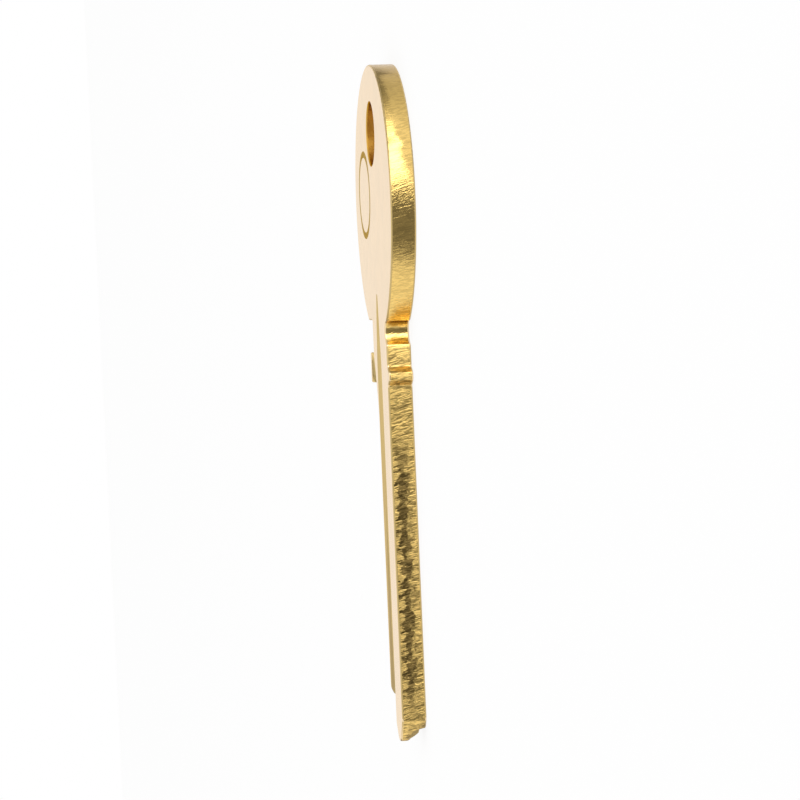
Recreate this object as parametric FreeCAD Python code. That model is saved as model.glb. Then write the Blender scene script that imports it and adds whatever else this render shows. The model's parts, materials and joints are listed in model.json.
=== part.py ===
"""Brass key blank for a six-pin cylinder: a round bow with a ring hole, a neck with a stop
shoulder, and a blade whose two faces are milled to the keyway's section.

Millimetres. The key lies flat on its back face. X runs across it, with the spine on the +X side
and the edge that is cut on the -X side. Y runs along it, with the bow towards +Y. Z is the
thickness. The origin lies in the shoulder plane, at the middle of the blade's height, on the
back face, because the depths and places of a key's cuts are measured from there.
"""
import FreeCAD, Part
import math
import os

# Plate
thickness = 2.15
edge_roll = 0.14            # round left on the rims by the blanking die
corner_round = 0.25         # plan radius of the small corners

# Blade
blade_length = 31.5         # shoulder plane to tip
blade_height = 8.7          # spine to cut edge

# Tip, seen on the face
nose_offset = 2.1           # nose, from the blade's centre line towards the spine
nose_round = 1.2
ramp_angle = 45.0           # slope that lifts the pins, measured from the blade's length
spine_bevel_angle = 37.0    # short slope on the spine's side, measured the same way
tip_corner_round = 0.5

# Shoulders, neck and bow
stop_reach = 2.7            # stop shoulder beyond the cut edge
stop_length = 2.75
tab_reach = 0.85            # small tab beyond the spine
tab_length = 1.65           # with its two slopes
tab_slope = 0.5             # length of each slope
neck_cut_side = 4.6         # neck's edge from the centre line, on the side of the cuts
neck_spine_side = 4.4
neck_gap = 2.95             # open length between the stop shoulder and the bow
notch_radius = 1.0          # round notch in the corner of neck and bow, on the spine's side
notch_depth = 0.8
notch_drop = 0.82           # middle of the notch, from that corner towards the tip
neck_length = 4.1           # shoulder plane to the bow's round outline
bow_diameter = 24.2
bow_offset = 1.1            # middle of the bow, from the centre line towards the cut side

# Ring hole
hole_radius = 2.8
hole_wall = 3.3             # metal left between the hole and the end of the bow
hole_offset = 0.5           # from the blade's centre line towards the cut side
hole_break = 0.1            # chamfer on both rims of the hole

# Plain coined ring on the front of the bow
ring_radius = 4.0
ring_width = 0.6
ring_depth = 0.15
ring_offset = 5.3           # middle of the ring, from the bow's middle towards the cut side
ring_advance = 0.9          # and towards the ring hole

# Milled section: depths below the face, places from the blade's centre line
cutter_radius = 20.0
groove_end = 0.9            # straight part of a groove, past the shoulder plane
front_groove_depth = 1.31
front_groove_crest = 2.35   # cut-side top of the front groove
front_groove_floor = 0.6    # width of its floor
front_groove_middle = 0.71  # middle of its floor, towards the cut side
front_groove_lip = 0.41     # spine-side top, towards the spine
front_lip_depth = 0.2       # eased part of both tops
front_lip_width = 0.36

bevel_end = -3.5            # straight part of the front bevel ends before the shoulder plane
bevel_crest = 2.56          # top of the bevel
bevel_break_depth = 0.245   # gentle first part of the bevel
bevel_break_width = 0.76
bevel_depth = 0.81          # at the cut edge
bevel_floor_depth = 1.2     # where the cutter runs beside the cut edge
bevel_floor_width = 1.35
bevel_floor_offset = 0.45   # from the cut edge
bevel_flank_width = 0.35

back_spine_end = -4.4       # this groove has run out before it meets the notch
back_spine_depth = 1.52     # back groove next to the spine
back_spine_floor = 0.6      # width of its floor
back_spine_rim = 0.63       # full thickness left along the spine
back_spine_wall_width = 0.2
back_spine_wall_depth = 1.1
back_spine_slope_width = 0.65
back_spine_crest = 0.53     # edge of the middle ridge, towards the spine
back_spine_shelf_width = 0.62
back_spine_shelf_depth = 0.33
back_cut_depth = 1.37       # back groove next to the cut edge
back_cut_crest = 1.36       # edge of the middle ridge, towards the cut side
back_cut_wall_width = 0.48
back_cut_wall_depth = 0.96
back_cut_floor_inner = 2.39
back_cut_floor_outer = 2.92
back_cut_edge_depth = 0.8   # at the cut edge
back_cut_run_out = 0.9      # width over which the cutter leaves the stop shoulder
profile_round = 0.12        # radius left by the cutter's tooth corners
ridge_clearance = 1.0       # how far a cutter's section stands above the face

# Values that follow from the sizes above
half_height = blade_height / 2
bow_radius = bow_diameter / 2
bow_place = neck_length + bow_radius
neck_corner = bow_place - math.sqrt(bow_radius ** 2 - (neck_spine_side + bow_offset) ** 2)
notch_place = neck_corner - notch_drop

# Limits used to find edges
sharp_turn = 20.0           # degrees; corners of the outline that turn more are rounded
level_limit = 1e-6          # heights that differ by less count as equal


def rounded_outline(corners):
    """Closed wire through (point, radius) corners, with a tangent arc at each radius."""
    edges = []
    last_end = None
    first_start = None
    count = len(corners)
    for index, (point, radius) in enumerate(corners):
        before = corners[index - 1][0]
        after = corners[(index + 1) % count][0]
        towards_before = (before - point).normalize()
        towards_after = (after - point).normalize()
        half_angle = towards_before.getAngle(towards_after) / 2
        setback = radius / math.tan(half_angle)
        start = point + towards_before * setback
        end = point + towards_after * setback
        if last_end is not None:
            edges.append(Part.makeLine(last_end, start))
        else:
            first_start = start
        if radius > 0:
            bisector = (towards_before + towards_after).normalize()
            middle = point + bisector * (radius / math.sin(half_angle) - radius)
            edges.append(Part.Arc(start, middle, end).toShape())
        last_end = end
    edges.append(Part.makeLine(last_end, first_start))
    return Part.Wire(edges)


def on_face(x, y):
    return FreeCAD.Vector(x, y, 0)


def shank_plate():
    """Blade, shoulders and neck as a flat plate, up to the middle of the bow."""
    ramp = math.radians(ramp_angle)
    bevel = math.radians(spine_bevel_angle)
    nose_stretch = nose_round / math.sin(ramp + bevel)
    nose_x = nose_offset + nose_stretch * (math.sin(ramp) - math.sin(bevel))
    nose_y = nose_round - blade_length - nose_stretch * (math.cos(ramp) + math.cos(bevel))
    ramp_end = nose_y + (nose_x + half_height) / math.tan(ramp)
    bevel_end_y = nose_y + (half_height - nose_x) / math.tan(bevel)
    corners = [
        (on_face(nose_x, nose_y), nose_round),
        (on_face(half_height, bevel_end_y), tip_corner_round),
        (on_face(half_height, 0), corner_round),
        (on_face(half_height + tab_reach, tab_slope), corner_round),
        (on_face(half_height + tab_reach, tab_length - tab_slope), corner_round),
        (on_face(neck_spine_side, tab_length), corner_round),
        (on_face(neck_spine_side, bow_place), 0),
        (on_face(-neck_cut_side, bow_place), 0),
        (on_face(-neck_cut_side, stop_length), corner_round),
        (on_face(-half_height - stop_reach, stop_length), corner_round),
        (on_face(-half_height - stop_reach, 0), corner_round),
        (on_face(-half_height, 0), 0),
        (on_face(-half_height, ramp_end), corner_round),
    ]
    face = Part.Face(rounded_outline(corners))
    return face.extrude(FreeCAD.Vector(0, 0, thickness))


def bow_plate():
    """Round bow, cut off square above the stop shoulder."""
    bow = Part.makeCylinder(bow_radius, thickness, on_face(-bow_offset, bow_place))
    gap = Part.makeBox(bow_diameter, neck_gap, thickness)
    gap.translate(on_face(-neck_cut_side - bow_diameter, stop_length))
    return bow.cut(gap)


def upright_corners(solid):
    """Edges along Z at which the outline turns sharply."""
    found = []
    for edge in solid.Edges:
        low, high = edge.Vertexes[0].Point, edge.Vertexes[-1].Point
        if abs(abs(high.z - low.z) - thickness) > level_limit:
            continue
        middle = (low + high) * 0.5
        sides = solid.ancestorsOfType(edge, Part.Face)
        if len(sides) < 2:
            continue
        normals = [side.normalAt(*side.Surface.parameter(middle)) for side in sides[:2]]
        if normals[0].getAngle(normals[1]) > math.radians(sharp_turn):
            found.append(edge)
    return found


def rims(solid):
    """Edges around the front and the back face."""
    return [
        edge
        for edge in solid.Edges
        if edge.BoundBox.ZLength < level_limit
    ]


def blanked_plate():
    """The whole outline as it leaves the die, with its rims rolled over."""
    plate = shank_plate().fuse(bow_plate())
    notch_x = neck_spine_side + notch_radius - notch_depth
    notch = Part.makeCylinder(notch_radius, thickness, on_face(notch_x, notch_place))
    plate = plate.cut(notch).removeSplitter()
    plate = plate.makeFillet(corner_round, upright_corners(plate))
    return plate.makeFillet(edge_roll, rims(plate))


def ring_hole():
    """Through hole with a chamfer on each rim."""
    centre_y = bow_place + bow_radius - hole_wall - hole_radius
    drill = Part.makeCylinder(hole_radius, thickness, on_face(-hole_offset, centre_y))
    wide = hole_radius + hole_break
    lower = Part.makeCone(wide, hole_radius, hole_break, on_face(-hole_offset, centre_y))
    upper_base = FreeCAD.Vector(-hole_offset, centre_y, thickness - hole_break)
    upper = Part.makeCone(hole_radius, wide, hole_break, upper_base)
    return drill.fuse([lower, upper])


def coined_ring():
    """Shallow ring pressed into the front of the bow, a plain vee."""
    centre = FreeCAD.Vector(-bow_offset - ring_offset, bow_place + ring_advance, thickness)
    outer = centre + FreeCAD.Vector(ring_radius, 0, 0)
    inner = centre + FreeCAD.Vector(ring_radius - ring_width, 0, 0)
    lowest = (outer + inner) * 0.5 - FreeCAD.Vector(0, 0, ring_depth)
    section = Part.Face(Part.makePolygon([outer, lowest, inner, outer]))
    return section.revolve(centre, FreeCAD.Vector(0, 0, 1), 360)


def milled(profile, end, from_front):
    """Metal that one pass of a form cutter takes along the blade.

    profile holds (x, depth, radius) across the blade; the pass is straight from beyond the tip to
    end, where the cutter's circle lifts out of the face.
    """
    face_z = thickness if from_front else 0.0
    inwards = -1.0 if from_front else 1.0
    above = face_z - inwards * ridge_clearance
    corners = [(FreeCAD.Vector(x, end, face_z + inwards * depth), radius) for x, depth, radius in profile]
    corners.append((FreeCAD.Vector(profile[-1][0], end, above), 0))
    corners.append((FreeCAD.Vector(profile[0][0], end, above), 0))
    section = Part.Face(rounded_outline(corners))
    straight = section.extrude(FreeCAD.Vector(0, -blade_length - end - ridge_clearance, 0))
    deepest = max(depth for x, depth, radius in profile)
    axis_point = FreeCAD.Vector(0, end, face_z + inwards * (deepest - cutter_radius))
    lift = math.degrees(math.acos(1 - (deepest + ridge_clearance) / cutter_radius))
    axis = FreeCAD.Vector(-inwards, 0, 0)
    run_out = section.revolve(axis_point, axis, lift)
    return straight.fuse(run_out)


def front_groove():
    """Main groove in the middle of the front face."""
    floor_low = -front_groove_middle - front_groove_floor / 2
    floor_high = -front_groove_middle + front_groove_floor / 2
    profile = [
        (-front_groove_crest, 0, 0),
        (-front_groove_crest + front_lip_width, front_lip_depth, profile_round),
        (floor_low, front_groove_depth, profile_round),
        (floor_high, front_groove_depth, profile_round),
        (front_groove_lip - front_lip_width, front_lip_depth, profile_round),
        (front_groove_lip, 0, 0),
    ]
    return milled(profile, groove_end, True)


def front_bevel():
    """Bevel from the front ridge down to the cut edge, and the cutter's path beside it."""
    break_x = -bevel_crest - bevel_break_width
    floor_x = -half_height - bevel_floor_offset
    profile = [
        (-bevel_crest, 0, 0),
        (break_x, bevel_break_depth, profile_round),
        (-half_height, bevel_depth, profile_round),
        (floor_x, bevel_floor_depth, profile_round),
        (floor_x - bevel_floor_width, bevel_floor_depth, profile_round),
        (floor_x - bevel_floor_width - bevel_flank_width, 0, 0),
    ]
    return milled(profile[::-1], bevel_end, True)


def back_spine_groove():
    """Deep back groove between the spine's rim and the middle ridge."""
    rim = half_height - back_spine_rim
    wall = rim - back_spine_wall_width
    floor_high = wall - back_spine_slope_width
    floor_low = floor_high - back_spine_floor
    profile = [
        (back_spine_crest, 0, 0),
        (back_spine_crest + back_spine_shelf_width, back_spine_shelf_depth, profile_round),
        (floor_low - back_spine_slope_width, back_spine_wall_depth, profile_round),
        (floor_low, back_spine_depth, profile_round),
        (floor_high, back_spine_depth, profile_round),
        (wall, back_spine_wall_depth, profile_round),
        (rim, 0, 0),
    ]
    return milled(profile, back_spine_end, False)


def back_cut_groove():
    """Back groove between the middle ridge and the cut edge."""
    profile = [
        (-half_height - back_cut_run_out, 0, 0),
        (-half_height, back_cut_edge_depth, profile_round),
        (-back_cut_floor_outer, back_cut_depth, profile_round),
        (-back_cut_floor_inner, back_cut_depth, profile_round),
        (-back_cut_crest - back_cut_wall_width, back_cut_wall_depth, profile_round),
        (-back_cut_crest, 0, 0),
    ]
    return milled(profile, groove_end, False)


def key_blank():
    cuts = [
        ring_hole(),
        coined_ring(),
        front_groove(),
        front_bevel(),
        back_spine_groove(),
        back_cut_groove(),
    ]
    return blanked_plate().cut(cuts)


key = key_blank()
os.makedirs("parts", exist_ok=True)
key.exportStep("parts/key_blank.step")
print("solids", len(key.Solids), "valid", key.isValid(), "volume", round(key.Volume, 2))
print("box", key.optimalBoundingBox(False))
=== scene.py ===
"""Looks of the brass key blank: the finish of its rolled faces, sheared rims and milled grooves,
on a plain pale table under a soft studio light.

Metres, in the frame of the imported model: +Y runs along the key towards the bow, +X towards the
spine, +Z is up, and the origin lies in the shoulder plane.
"""

import json
import math

import bmesh
import bpy
from bpy.props import FloatProperty, FloatVectorProperty, PointerProperty
from mathutils import Matrix, Vector
from mathutils.kdtree import KDTree


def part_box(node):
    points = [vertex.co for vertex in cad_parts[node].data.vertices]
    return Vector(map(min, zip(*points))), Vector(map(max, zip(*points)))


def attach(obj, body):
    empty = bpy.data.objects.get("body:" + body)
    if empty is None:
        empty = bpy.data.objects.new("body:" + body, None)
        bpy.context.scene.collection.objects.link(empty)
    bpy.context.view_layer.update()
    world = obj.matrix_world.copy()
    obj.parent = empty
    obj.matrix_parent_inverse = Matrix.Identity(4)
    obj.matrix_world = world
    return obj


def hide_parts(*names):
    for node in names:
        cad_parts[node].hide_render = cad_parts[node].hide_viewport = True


bl_info = {
    "name": "Key blank finish",
    "version": (1, 0, 0),
    "blender": (4, 5, 0),
    "location": "3D View > Sidebar > Key Blank",
    "description": "Dresses a brass key blank and sets up its studio table",
    "category": "Object",
}

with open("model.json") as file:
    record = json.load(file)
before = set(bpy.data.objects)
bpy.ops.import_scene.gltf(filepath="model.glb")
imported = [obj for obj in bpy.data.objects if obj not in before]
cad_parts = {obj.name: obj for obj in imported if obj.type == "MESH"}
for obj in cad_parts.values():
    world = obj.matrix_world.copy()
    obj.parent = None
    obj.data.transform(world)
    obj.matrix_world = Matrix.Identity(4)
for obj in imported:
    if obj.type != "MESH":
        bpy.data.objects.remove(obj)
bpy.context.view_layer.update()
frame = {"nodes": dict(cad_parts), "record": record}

NODE = "key_blank"
BODY = "root"
IMAGE_SIDE = 800
SENSOR_WIDTH = 36.0
MILLIMETRE = 0.001

LOW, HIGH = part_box(NODE)
THICKNESS = HIGH.z - LOW.z
MOUNTS = {mount["name"]: mount for mount in frame["record"]["mounts"]}
HOLE_CENTRE = Vector(MOUNTS["ring_hole"]["pos_m"])
HOLE_RADIUS = MOUNTS["ring_hole"]["dims"]["r_mm"] * MILLIMETRE
RING_CENTRE = Vector((-0.0064, 0.0171, 0.0))
RING_RADIUS = 0.004

ZONES = ("rolled_face", "sheared_edge", "milled_groove", "drilled_hole", "coined_ring")
FLAT_LIMIT = 0.999
UPRIGHT_LIMIT = 0.03
RIM_ROLL = 0.00015
# a zone's reach past its nominal size
HOLE_REACH, RING_REACH, RIM_REACH = 1.05, 1.02, 1.1
SHARP_ANGLE = math.radians(28.0)
MERGE_DISTANCE = 0.000001

SHANK_EDGE = (0.0037, 0.0031)       # smooth edge of bow and notch gives way to the rougher shank
BOW_END_SHADE = (0.0212, 0.0256)          # painted shade on the edge towards the end of the bow
TORN_SHADE_START = (-0.0030, -0.0085)     # rough fracture zone in the middle, painted dark as shade, begins below the shoulder
TORN_SHADE_END = (-0.0300, -0.0255)       # and fades before the tip
SLANT = 0.25                        # lean of the shear marks
MARK_STRETCH = (0.6, 0.6, 0.13)     # rate of the shear marks along each axis
# each pair is for the bow, then for the shank
MARK_CONTRAST = (0.32, 0.85)
MARK_RELIEF = (0.85, 1.9)
EDGE_ROUGHNESS = (0.15, 0.3)
MARK_LEVEL = 0.28                   # tone of a mark, as a share of the clean edge
BOW_END_SHADE_LEVEL = 0.58                # tone of the painted shade at the end of the bow
# shares of the thickness between which the rough fracture zone in the middle, painted dark as shade,
# sets in, and gives way again
TORN_SHADE_LOW, TORN_SHADE_HIGH = (0.34, 0.44), (0.86, 0.74)
# share of painted shade in the colour of the fracture zone
TORN_SHADE_SHARE = 0.94
RAGGED_BY_MARKS, RAGGED_BY_PATCHES = 0.9, 0.3
EDGE_BUMP = 0.00004
EDGE_TAPER = 0.2                    # tangent of the sheared edge's slope

# light and table
DOME_LEVEL = 1.0                    # the white that the camera sees
GLOW_SHARE = 0.85                   # share of plain white in the table; the rest takes the shadow
PANEL_SOFTNESS = 2.5                # degrees
PANEL_TOP = (0.52, 0.36)            # sine of the height at which the panels give way to the dome
# compass angles of the panels, from the spine's side towards the bow, and their levels
PANELS = (
    (12.0, 60.0, 3.3), (-51.0, 11.0, 0.2), (86.0, 152.0, 0.42), (-158.0, -118.0, 0.2))
LAMP_PLACE = (40.0, 60.0, 0.6)      # compass angle, height in degrees, distance
LAMP_SIDE = 0.4
LAMP_POWER = 0.3
TABLE_HALF = 6.0
TABLE_GAP = 0.00002                 # keeps the table's face clear of the key's


class BrassSettings(bpy.types.PropertyGroup):
    """Colours and grain of the brass."""

    face_colour: FloatVectorProperty(
        name="Rolled face", description="Colour of the flat rolled faces",
        subtype="COLOR", size=3, min=0.0, max=1.0, default=(0.87, 0.67, 0.385))
    edge_colour: FloatVectorProperty(
        name="Sheared edge", description="Colour of the sheared edge where it is clean",
        subtype="COLOR", size=3, min=0.0, max=1.0, default=(0.94, 0.65, 0.21))
    # painted shade: the dark colour of the fracture zone in the middle of the sheared edge
    edge_torn_shade_colour: FloatVectorProperty(
        name="Torn edge and shade", description="Colour of the torn middle of the sheared edge",
        subtype="COLOR", size=3, min=0.0, max=1.0, default=(0.11, 0.074, 0.024))
    groove_colour: FloatVectorProperty(
        name="Milled groove", description="Colour of the milled grooves",
        subtype="COLOR", size=3, min=0.0, max=1.0, default=(0.72, 0.53, 0.22))
    glancing_colour: FloatVectorProperty(
        name="Glancing tint", description="Tint of the metal where it is seen almost edge-on",
        subtype="COLOR", size=3, min=0.0, max=1.0, default=(1.0, 0.93, 0.86))
    hole_colour: FloatVectorProperty(
        name="Drilled hole", description="Colour of the ring hole's wall",
        subtype="COLOR", size=3, min=0.0, max=1.0, default=(0.72, 0.42, 0.08))
    ring_colour: FloatVectorProperty(
        name="Coined ring", description="Colour of the tarnish in the coined ring",
        subtype="COLOR", size=3, min=0.0, max=1.0, default=(0.66, 0.49, 0.22))
    striation_spacing: FloatProperty(
        name="Striation spacing", description="Distance between the shear marks on the edge",
        subtype="DISTANCE", unit="LENGTH", min=0.00001, default=0.00016)
    milling_spacing: FloatProperty(
        name="Milling spacing", description="Distance between the tooth lines in a groove",
        subtype="DISTANCE", unit="LENGTH", min=0.00001, default=0.00009)


class StudioSettings(bpy.types.PropertyGroup):
    """Camera, table and lamps."""

    camera_distance: FloatProperty(
        name="Camera distance", description="Camera to the middle of the key",
        subtype="DISTANCE", unit="LENGTH", default=0.2)
    camera_height: FloatProperty(
        name="Camera elevation", description="Angle of the view above the flat face",
        subtype="ANGLE", unit="ROTATION", default=math.radians(7.762))
    camera_yaw: FloatProperty(
        name="Camera yaw", description="Turn of the camera from the spine's side towards the bow",
        subtype="ANGLE", unit="ROTATION", default=math.radians(2.466))
    camera_roll: FloatProperty(
        name="Camera roll", description="Lean of the picture about the view's axis",
        subtype="ANGLE", unit="ROTATION", default=math.radians(-2.442))
    camera_target: FloatVectorProperty(
        name="Camera target", description="Point that the camera looks at",
        subtype="TRANSLATION", unit="LENGTH", size=3, default=(0.0, -0.001451, 0.000564))
    focal_pixels: FloatProperty(
        name="Focal length in pixels", description="Focal length in a picture 800 pixels wide",
        default=2251.0)
    table_colour: FloatVectorProperty(
        name="Table", description="Colour of the table",
        subtype="COLOR", size=3, min=0.0, max=1.0, default=(0.9, 0.9, 0.9))


# helpers for node trees
MIX_FIRST, MIX_SECOND, MIX_RESULT = 6, 7, 2     # sockets of a colour mix


class Tree:
    """Short calls for building one node tree."""

    def __init__(self, tree):
        self.tree = tree

    def node(self, kind, settings=None, **inputs):
        made = self.tree.nodes.new(kind)
        for name, value in (settings or {}).items():
            setattr(made, name, value)
        for name, value in inputs.items():
            self.feed(made.inputs[name.replace("_", " ")], value)
        return made

    def feed(self, socket, value):
        if isinstance(value, bpy.types.NodeSocket):
            self.tree.links.new(value, socket)
        else:
            socket.default_value = value

    def math(self, operation, first, second=0.0, third=0.0):
        made = self.node("ShaderNodeMath", {"operation": operation})
        for socket, value in zip(made.inputs, (first, second, third)):
            self.feed(socket, value)
        return made.outputs[0]

    def ramp(self, value, low, high, to_low=0.0, to_high=1.0):
        made = self.node("ShaderNodeMapRange", {"interpolation_type": "SMOOTHSTEP"})
        for name, number in zip(
            ("Value", "From Min", "From Max", "To Min", "To Max"), (value, low, high, to_low, to_high)
        ):
            self.feed(made.inputs[name], number)
        return made.outputs["Result"]

    def noise(self, vector, detail, roughness, distortion=0.0):
        made = self.node(
            "ShaderNodeTexNoise", Vector=vector, Scale=1.0, Detail=detail, Roughness=roughness,
            Distortion=distortion)
        return made.outputs["Fac"]

    def scaled(self, vector, factors):
        made = self.node("ShaderNodeVectorMath", {"operation": "MULTIPLY"})
        self.feed(made.inputs[0], vector)
        self.feed(made.inputs[1], factors)
        return made.outputs["Vector"]

    def mix_colour(self, factor, first, second):
        made = self.node("ShaderNodeMix", {"data_type": "RGBA"})
        self.feed(made.inputs["Factor"], factor)
        self.feed(made.inputs[MIX_FIRST], first)
        self.feed(made.inputs[MIX_SECOND], second)
        return made.outputs[MIX_RESULT]


def node_group(name, inputs, outputs):
    """Empty shader group with the named float, vector or colour sockets."""
    group = bpy.data.node_groups.new(name, "ShaderNodeTree")
    for socket, kind, value in inputs:
        made = group.interface.new_socket(socket, in_out="INPUT", socket_type=kind)
        if value is not None:
            made.default_value = value
    for socket, kind in outputs:
        group.interface.new_socket(socket, in_out="OUTPUT", socket_type=kind)
    tree = Tree(group)
    return group, tree, tree.node("NodeGroupInput").outputs, tree.node("NodeGroupOutput").inputs


def streak_group():
    """Fine streaks that run along one axis, from coarse and fine noise stretched that way."""
    group, tree, given, wanted = node_group(
        "streaks",
        [("Position", "NodeSocketVector", None), ("Frequency", "NodeSocketVector", None),
         ("Fine Share", "NodeSocketFloat", 0.4), ("Waviness", "NodeSocketFloat", 0.6)],
        [("Streaks", "NodeSocketFloat")],
    )
    stretched = tree.scaled(given["Position"], given["Frequency"])
    coarse = tree.noise(stretched, 2.0, 0.55, given["Waviness"])
    quick = tree.scaled(given["Frequency"], (3.7, 3.7, 2.2))
    fine = tree.noise(tree.scaled(given["Position"], quick), 3.0, 0.6)
    share = tree.math("SUBTRACT", 1.0, given["Fine Share"])
    coarse_part = tree.math("MULTIPLY", coarse, share)
    tree.feed(wanted["Streaks"], tree.math("MULTIPLY_ADD", fine, given["Fine Share"], coarse_part))
    return group


def mottle_group():
    """Soft uneven patches, from handling and storage."""
    group, tree, given, wanted = node_group(
        "mottle",
        [("Position", "NodeSocketVector", None), ("Patch Frequency", "NodeSocketFloat", 900.0)],
        [("Patches", "NodeSocketFloat")],
    )
    made = tree.node(
        "ShaderNodeTexNoise", Vector=given["Position"], Scale=given["Patch Frequency"], Detail=4.0)
    tree.feed(wanted["Patches"], tree.ramp(made.outputs["Fac"], 0.35, 0.65))
    return group


def brass_material(name, glancing_colour):
    """Material with a metallic shader, its tree and the object's coordinates."""
    material = bpy.data.materials.new(name)
    material.use_nodes = True
    material.node_tree.nodes.clear()
    tree = Tree(material.node_tree)
    shader = tree.node("ShaderNodeBsdfPrincipled", Metallic=1.0)
    shader.inputs["Specular Tint"].default_value = opaque(glancing_colour)
    tree.node("ShaderNodeOutputMaterial", Surface=shader.outputs["BSDF"])
    return material, tree, shader, tree.node("ShaderNodeTexCoord").outputs["Object"]


def placed_group(tree, group, **inputs):
    made = tree.node("ShaderNodeGroup", {"node_tree": group})
    for name, value in inputs.items():
        tree.feed(made.inputs[name.replace("_", " ")], value)
    return made.outputs


def opaque(colour, level=1.0):
    return tuple(channel * level for channel in colour) + (1.0,)


# finishes of the brass
def rolled_face_material(brass, groups):
    """Flat faces, rolled smooth and a little dulled by handling."""
    material, tree, shader, place = brass_material("rolled_face", brass.glancing_colour)
    mottle = placed_group(tree, groups["mottle"], Position=place, Patch_Frequency=420.0)
    grain = placed_group(
        tree, groups["streaks"], Position=place, Frequency=(7000.0, 600.0, 7000.0), Waviness=0.2)
    dulled = tree.math("MULTIPLY", mottle["Patches"], 0.5)
    colour = tree.mix_colour(dulled, opaque(brass.face_colour), opaque(brass.face_colour, 0.9))
    tree.feed(shader.inputs["Base Color"], colour)
    tree.feed(shader.inputs["Roughness"], tree.ramp(grain["Streaks"], 0.3, 0.7, 0.13, 0.2))
    bump = tree.node("ShaderNodeBump", Height=grain["Streaks"], Distance=0.000002)
    tree.feed(shader.inputs["Normal"], bump.outputs["Normal"])
    return material


def sheared_edge_material(brass, groups):
    """Edge left by the blanking die: smooth round the bow, fractured in the blade's middle, where the
    dark colour is painted shade.
    """
    material, tree, shader, place = brass_material("sheared_edge", brass.glancing_colour)
    parts = tree.node("ShaderNodeSeparateXYZ", Vector=place).outputs
    rate = 1.0 / brass.striation_spacing
    slant = tree.node("ShaderNodeCombineXYZ", Y=tree.math("MULTIPLY", parts["Z"], SLANT))
    leaning = tree.node("ShaderNodeVectorMath", {"operation": "ADD"})
    tree.feed(leaning.inputs[0], place)
    tree.feed(leaning.inputs[1], slant.outputs["Vector"])
    marks = placed_group(
        tree, groups["streaks"], Position=leaning.outputs["Vector"],
        Frequency=tuple(rate * stretch for stretch in MARK_STRETCH),
        Fine_Share=0.35, Waviness=1.1)["Streaks"]
    mottle = placed_group(tree, groups["mottle"], Position=place, Patch_Frequency=1600.0)["Patches"]
    centred = tree.math("SUBTRACT", marks, 0.5)
    share = tree.math("DIVIDE", parts["Z"], THICKNESS)
    ragged = tree.math("MULTIPLY_ADD", centred, RAGGED_BY_MARKS, share)
    patchy = tree.math("SUBTRACT", mottle, 0.5)
    ragged = tree.math("MULTIPLY_ADD", patchy, RAGGED_BY_PATCHES, ragged)
    middle = tree.math("MULTIPLY", tree.ramp(ragged, *TORN_SHADE_LOW), tree.ramp(ragged, *TORN_SHADE_HIGH))
    started = tree.math("MULTIPLY", tree.ramp(parts["Y"], *TORN_SHADE_START), tree.ramp(parts["Y"], *TORN_SHADE_END))
    torn_and_shade = tree.math("MULTIPLY", middle, started)
    on_shank = tree.ramp(parts["Y"], *SHANK_EDGE)
    contrast = tree.ramp(on_shank, 0.0, 1.0, *MARK_CONTRAST)
    streaked = tree.math("MULTIPLY", tree.ramp(marks, 0.57, 0.42), contrast)
    # painted shade: the edge darkens towards the end of the bow
    bow_end_shade = tree.ramp(parts["Y"], *BOW_END_SHADE)
    clean = tree.mix_colour(bow_end_shade, opaque(brass.edge_colour), opaque(brass.edge_colour, BOW_END_SHADE_LEVEL))
    plain = tree.mix_colour(streaked, clean, opaque(brass.edge_colour, MARK_LEVEL))
    # painted glints: lighter flecks on the dark colour, following the shear marks
    glint_flecks = tree.ramp(marks, 0.44, 0.6)
    dark = tree.mix_colour(
        glint_flecks, opaque(brass.edge_torn_shade_colour, 0.7), opaque(brass.edge_torn_shade_colour, 2.2))
    # painted shade: the fracture zone in the middle takes the dark colour
    colour = tree.mix_colour(tree.math("MULTIPLY", torn_and_shade, TORN_SHADE_SHARE), plain, dark)
    tree.feed(shader.inputs["Base Color"], colour)
    base_roughness = tree.ramp(on_shank, 0.0, 1.0, *EDGE_ROUGHNESS)
    tree.feed(shader.inputs["Roughness"], tree.math("MULTIPLY_ADD", torn_and_shade, 0.1, base_roughness))
    relief = tree.math("MULTIPLY", marks, tree.ramp(on_shank, 0.0, 1.0, *MARK_RELIEF))
    tapered = tree.node("ShaderNodeVectorMath", {"operation": "ADD"})
    tree.feed(tapered.inputs[0], tree.node("ShaderNodeNewGeometry").outputs["Normal"])
    tree.feed(tapered.inputs[1], (0.0, 0.0, EDGE_TAPER))
    bump = tree.node(
        "ShaderNodeBump", Height=relief, Distance=EDGE_BUMP, Normal=tapered.outputs["Vector"])
    tree.feed(shader.inputs["Normal"], bump.outputs["Normal"])
    return material


def milled_material(name, brass, groups, colour, glancing_colour):
    """Fine lines left by a cutter, for the milled grooves, the drilled hole and the coined ring."""
    material, tree, shader, place = brass_material(name, glancing_colour)
    rate = 1.0 / brass.milling_spacing
    lines = placed_group(
        tree, groups["streaks"], Position=place, Frequency=(rate, rate * 0.03, rate),
        Fine_Share=0.3, Waviness=0.1)["Streaks"]
    tree.feed(shader.inputs["Base Color"], tree.mix_colour(lines, opaque(colour, 0.72), opaque(colour)))
    tree.feed(shader.inputs["Roughness"], tree.ramp(lines, 0.3, 0.7, 0.4, 0.26))
    bump = tree.node("ShaderNodeBump", Height=lines, Distance=0.000012)
    tree.feed(shader.inputs["Normal"], bump.outputs["Normal"])
    return material


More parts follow.
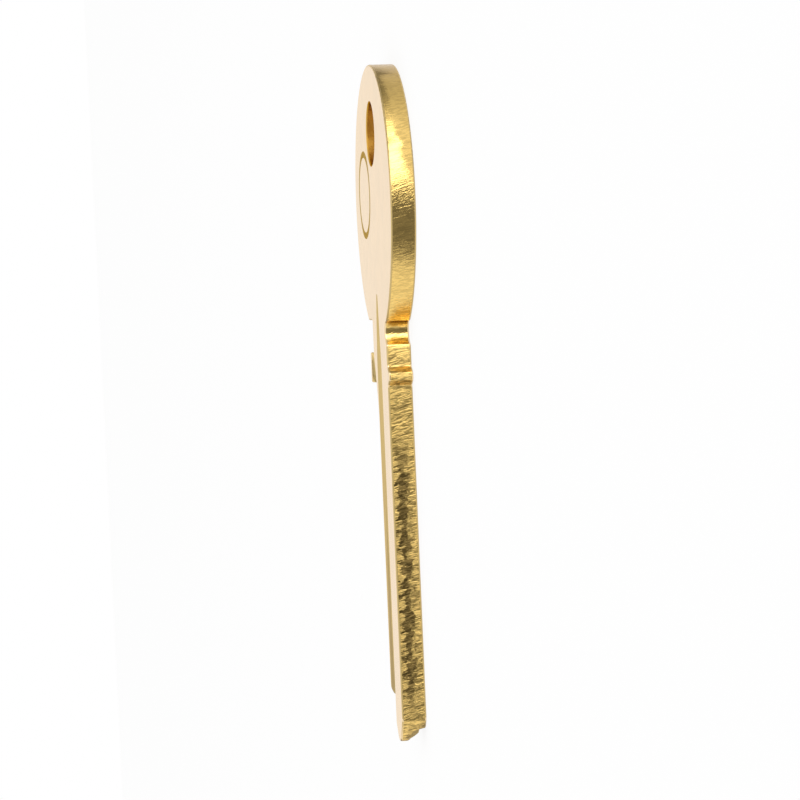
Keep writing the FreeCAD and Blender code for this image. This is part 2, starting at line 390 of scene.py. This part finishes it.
# the key
def zone_of(normal, centre, outline):
    """Zone of one face of the key."""
    if abs(normal.z) > FLAT_LIMIT:
        return "rolled_face"
    level_centre = Vector((centre.x, centre.y, 0.0))
    if (level_centre - Vector((HOLE_CENTRE.x, HOLE_CENTRE.y, 0.0))).length < HOLE_RADIUS * HOLE_REACH:
        return "drilled_hole"
    if abs(normal.z) < UPRIGHT_LIMIT:
        return "sheared_edge"
    if (level_centre - RING_CENTRE).length < RING_RADIUS * RING_REACH:
        return "coined_ring"
    near_face = min(centre.z - LOW.z, HIGH.z - centre.z) < RIM_ROLL
    if near_face and outline.find(level_centre)[2] < RIM_ROLL * RIM_REACH:
        return "rolled_face"
    return "milled_groove"


def sort_zones(shape):
    """Gives each face the material index of its zone."""
    shape.normal_update()
    upright = [face for face in shape.faces if abs(face.normal.z) < UPRIGHT_LIMIT]
    points = {(round(v.co.x, 6), round(v.co.y, 6)) for face in upright for v in face.verts}
    outline = KDTree(len(points))
    for index, (x, y) in enumerate(sorted(points)):
        outline.insert(Vector((x, y, 0.0)), index)
    outline.balance()
    for face in shape.faces:
        face.material_index = ZONES.index(zone_of(face.normal, face.calc_center_median(), outline))


class KEYBLANK_OT_key(bpy.types.Operator):
    """Make the key's finished surface"""

    bl_idname = "keyblank.key"
    bl_label = "Key"

    def execute(self, context):
        brass = context.scene.key_brass
        node = frame["nodes"][NODE]
        mesh = bpy.data.meshes.new("key_surface")
        shape = bmesh.new()
        shape.from_mesh(node.data)
        bmesh.ops.remove_doubles(shape, verts=shape.verts, dist=MERGE_DISTANCE)
        bmesh.ops.dissolve_degenerate(shape, edges=shape.edges, dist=MERGE_DISTANCE)
        sort_zones(shape)
        shape.to_mesh(mesh)
        shape.free()
        mesh.set_sharp_from_angle(angle=SHARP_ANGLE)
        # flat faces stay flat, so the rolled rims don't tilt their normals
        for face in mesh.polygons:
            face.use_smooth = abs(face.normal.z) <= FLAT_LIMIT
        key = bpy.data.objects.new("key_surface", mesh)
        context.scene.collection.objects.link(key)
        groups = {"streaks": streak_group(), "mottle": mottle_group()}
        mesh.materials.append(rolled_face_material(brass, groups))
        mesh.materials.append(sheared_edge_material(brass, groups))
        for name, colour, glancing_colour in (
            ("milled_groove", brass.groove_colour, brass.glancing_colour),
            ("drilled_hole", brass.hole_colour, brass.hole_colour),
            ("coined_ring", brass.ring_colour, brass.ring_colour),
        ):
            mesh.materials.append(milled_material(name, brass, groups, colour, glancing_colour))
        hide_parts(NODE)
        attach(key, BODY)
        return {"FINISHED"}


# table, light and camera
def table_material(colour):
    """Pale table: plain white to the camera and in the metal, and a soft shadow under the key."""
    material = bpy.data.materials.new("table")
    material.use_nodes = True
    material.node_tree.nodes.clear()
    tree = Tree(material.node_tree)
    path = tree.node("ShaderNodeLightPath").outputs
    reflected = tree.math("MAXIMUM", path["Is Glossy Ray"], path["Is Transmission Ray"])
    seen = tree.math("MAXIMUM", path["Is Camera Ray"], reflected)
    diffuse = tree.node("ShaderNodeBsdfDiffuse")
    diffuse.inputs["Color"].default_value = opaque(colour)
    glow = tree.node("ShaderNodeEmission", Strength=1.0)
    mix = tree.node("ShaderNodeMixShader", Fac=tree.math("MULTIPLY", seen, GLOW_SHARE))
    tree.feed(mix.inputs[1], diffuse.outputs["BSDF"])
    tree.feed(mix.inputs[2], glow.outputs["Emission"])
    tree.node("ShaderNodeOutputMaterial", Surface=mix.outputs["Shader"])
    return material


def aimed(position, target, along):
    """Turn whose -Z looks from position to target and whose +Y lies nearest to along."""
    back = (position - target).normalized()
    side = along.cross(back).normalized()
    upward = back.cross(side)
    return Matrix((side, upward, back)).transposed()


def add_lamp(context, name, position, target, side, power):
    """Square soft lamp that faces the target."""
    light = bpy.data.lights.new(name, "AREA")
    light.shape = "RECTANGLE"
    light.size = side
    light.size_y = side
    light.energy = power
    lamp = bpy.data.objects.new(name, light)
    turn = aimed(position, target, Vector((0.0, 1.0, 0.001)))
    lamp.matrix_world = Matrix.Translation(position) @ turn.to_4x4()
    context.scene.collection.objects.link(lamp)


def around(target, azimuth, elevation, distance):
    """Point at a compass angle and height from the target, where 0 is the spine's side."""
    turn, lift = math.radians(azimuth), math.radians(elevation)
    level = math.cos(lift)
    direction = Vector((level * math.cos(turn), level * math.sin(turn), math.sin(lift)))
    return target + direction * distance


def studio_world():
    """White dome, the same in the metal as to the camera, with a softbox and dim cards round it."""
    world = bpy.data.worlds.new("studio")
    world.use_nodes = True
    world.node_tree.nodes.clear()
    tree = Tree(world.node_tree)
    direction = tree.node("ShaderNodeTexCoord").outputs["Generated"]
    parts = tree.node("ShaderNodeSeparateXYZ", Vector=direction).outputs
    compass = tree.math("DEGREES", tree.math("ARCTAN2", parts["Y"], parts["X"]))
    low = tree.ramp(parts["Z"], *PANEL_TOP)
    level = DOME_LEVEL
    for start, end, panel_level in PANELS:
        inside = tree.math(
            "MULTIPLY",
            tree.ramp(compass, start - PANEL_SOFTNESS, start + PANEL_SOFTNESS),
            tree.ramp(compass, end + PANEL_SOFTNESS, end - PANEL_SOFTNESS))
        change = tree.math("SUBTRACT", panel_level, level)
        level = tree.math("MULTIPLY_ADD", tree.math("MULTIPLY", inside, low), change, level)
    path = tree.node("ShaderNodeLightPath").outputs
    seen = tree.math("MAXIMUM", path["Is Camera Ray"], path["Is Transmission Ray"])
    others = tree.math("MULTIPLY", level, tree.math("SUBTRACT", 1.0, seen))
    background = tree.node("ShaderNodeBackground", Strength=tree.math("ADD", others, seen))
    background.inputs["Color"].default_value = (1.0, 1.0, 1.0, 1.0)
    tree.node("ShaderNodeOutputWorld", Surface=background.outputs["Background"])
    return world


class KEYBLANK_OT_stage(bpy.types.Operator):
    """Set out the table, the lamps and the camera"""

    bl_idname = "keyblank.stage"
    bl_label = "Stage"

    def execute(self, context):
        studio = context.scene.key_studio
        mesh = bpy.data.meshes.new("table")
        level = LOW.z - TABLE_GAP
        turns = ((-1, -1), (1, -1), (1, 1), (-1, 1))
        corners = [(x * TABLE_HALF, y * TABLE_HALF, level) for x, y in turns]
        mesh.from_pydata(corners, [], [(0, 1, 2, 3)])
        table = bpy.data.objects.new("table", mesh)
        context.scene.collection.objects.link(table)
        mesh.materials.append(table_material(studio.table_colour))

        context.scene.world = studio_world()

        target = Vector(studio.camera_target)
        add_lamp(context, "key_lamp", around(target, *LAMP_PLACE), target, LAMP_SIDE, LAMP_POWER)

        camera_data = bpy.data.cameras.new("camera")
        camera_data.sensor_width = SENSOR_WIDTH
        camera_data.lens = studio.focal_pixels / IMAGE_SIDE * SENSOR_WIDTH
        camera_data.clip_start = 0.01
        camera_data.clip_end = 50.0
        camera = bpy.data.objects.new("camera", camera_data)
        context.scene.collection.objects.link(camera)
        level_part = math.cos(studio.camera_height)
        direction = Vector((
            level_part * math.cos(studio.camera_yaw),
            level_part * math.sin(studio.camera_yaw),
            math.sin(studio.camera_height),
        ))
        position = target + direction * studio.camera_distance
        turn = aimed(position, target, Vector((0.0, 1.0, 0.0)))
        lean = Matrix.Rotation(studio.camera_roll, 3, "Z")
        camera.matrix_world = Matrix.Translation(position) @ (turn @ lean).to_4x4()
        context.scene.camera = camera
        context.scene.view_settings.view_transform = "Standard"
        return {"FINISHED"}


# panel and run
class KEYBLANK_PT_panel(bpy.types.Panel):
    """Sizes, colours and steps of the key blank"""

    bl_label = "Key Blank"
    bl_idname = "KEYBLANK_PT_panel"
    bl_space_type = "VIEW_3D"
    bl_region_type = "UI"
    bl_category = "Key Blank"

    def draw(self, context):
        for group in (context.scene.key_brass, context.scene.key_studio):
            for name in group.__annotations__:
                self.layout.prop(group, name)
        for operator in OPERATORS:
            self.layout.operator(operator.bl_idname)


OPERATORS = (KEYBLANK_OT_key, KEYBLANK_OT_stage)
CLASSES = (BrassSettings, StudioSettings, *OPERATORS, KEYBLANK_PT_panel)


def register():
    for cls in CLASSES:
        bpy.utils.register_class(cls)
    bpy.types.Scene.key_brass = PointerProperty(type=BrassSettings)
    bpy.types.Scene.key_studio = PointerProperty(type=StudioSettings)


def unregister():
    del bpy.types.Scene.key_studio
    del bpy.types.Scene.key_brass
    for cls in reversed(CLASSES):
        bpy.utils.unregister_class(cls)


def main():
    register()
    bpy.ops.keyblank.key()
    bpy.ops.keyblank.stage()


if __name__ == "__main__":
    main()
